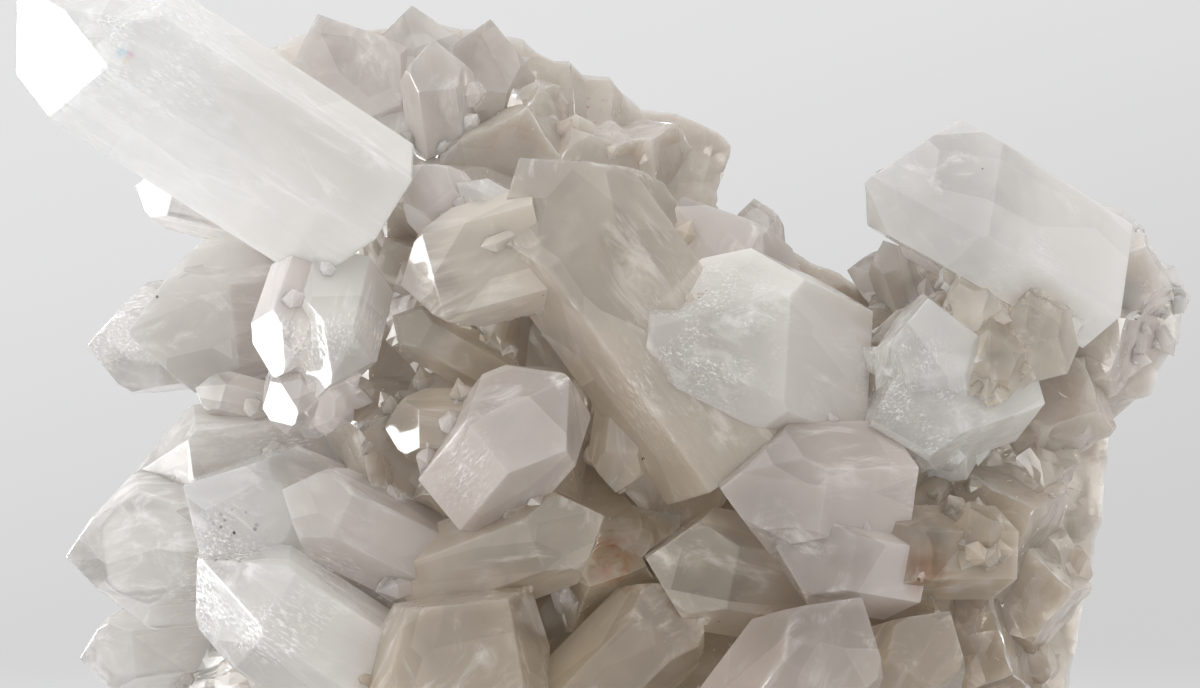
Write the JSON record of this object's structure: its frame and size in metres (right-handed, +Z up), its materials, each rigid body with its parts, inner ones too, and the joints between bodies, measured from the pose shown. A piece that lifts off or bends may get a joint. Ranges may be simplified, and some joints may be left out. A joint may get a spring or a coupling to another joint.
{
  "type": "rock crystal group on a stand",
  "caption": "Upright group of milky to clear quartz crystals with six-sided points on a rough host, standing in the socket of an oval moulded wooden plinth.",
  "frame": {"origin": "centre of the plinth's plan on the flat underside of its baize pad, which rests on Z = 0", "axes": "+Z up, -Y towards the front of the group, -X towards the end the largest point leans to"},
  "size_m": [0.2275, 0.1295, 0.2128],
  "materials": {
    "quartz_clear": "glossy, translucent, clear at the tips",
    "quartz_milky": "glossy, milky and translucent",
    "quartz_rosy": "glossy, milky with a pinkish grey cast",
    "quartz_smoky": "glossy, translucent with a beige cast",
    "quartz_host": "rough, translucent, beige grey",
    "plinth_wood": "ebonised, satin polish",
    "pad_baize": "short dense nap"
  },
  "bodies": {
    "root": {"crystal_great_point": "quartz_clear", "crystal_right_summit": "quartz_clear", "crystal_hex_shoulder": "quartz_clear", "crystal_rose_shoulder": "quartz_rosy", "crystal_rose_under": "quartz_rosy", "crystal_centre_hex": "quartz_rosy", "crystal_front_low": "quartz_smoky", "crystal_block_low_right": "quartz_rosy", "crystal_left_low_diagonal": "quartz_clear", "crystal_left_frosted": "quartz_clear", "crystal_left_great_low": "quartz_milky", "crystal_left_wedge": "quartz_milky", "crystal_left_upper": "quartz_milky", "crystal_left_upper_back": "quartz_milky", "crystal_left_bud": "quartz_milky", "crystal_lantern": "quartz_milky", "crystal_left_foot": "quartz_milky", "crystal_slant_low_left": "quartz_rosy", "crystal_nest_left": "quartz_rosy", "crystal_nest_right": "quartz_clear", "crystal_nest_low": "quartz_rosy", "crystal_nest_round": "quartz_rosy", "crystal_wall_face": "quartz_smoky", "crystal_mirror_hex": "quartz_smoky", "crystal_mirror_small": "quartz_smoky", "crystal_mirror_mid": "quartz_smoky", "crystal_saddle": "quartz_rosy", "crystal_window_bud": "quartz_clear", "crystal_crest_tablet": "quartz_milky", "crystal_crest_pyramid": "quartz_milky", "crystal_crest_left": "quartz_rosy", "crystal_crest_mid": "quartz_milky", "crystal_wall_blade": "quartz_smoky", "crystal_wall_broad": "quartz_rosy", "crystal_wall_pip": "quartz_smoky", "crystal_valley_bud": "quartz_milky", "crystal_notch_low": "quartz_milky", "crystal_notch_high": "quartz_milky", "crystal_summit_back": "quartz_rosy", "crystal_upright_frosted": "quartz_clear", "crystal_frosted_low": "quartz_clear", "crystal_gem_high": "quartz_smoky", "crystal_gem_right": "quartz_smoky", "crystal_gem_mid": "quartz_smoky", "crystal_gem_low": "quartz_smoky", "crystal_gem_under_rose": "quartz_smoky", "crystal_centre_low": "quartz_smoky", "crystal_inner_post": "quartz_smoky", "crystal_mid_column": "quartz_smoky", "crystal_low_hex": "quartz_smoky", "crystal_low_diagonal": "quartz_smoky", "crystal_low_right_diagonal": "quartz_smoky", "crystal_back_left": "quartz_milky", "crystal_back_high": "quartz_rosy", "crystal_back_right": "quartz_milky", "crystal_back_low": "quartz_smoky", "host_quartz": "quartz_host", "plinth": "plinth_wood", "baize_pad": "pad_baize"}
  },
  "joints": []
}
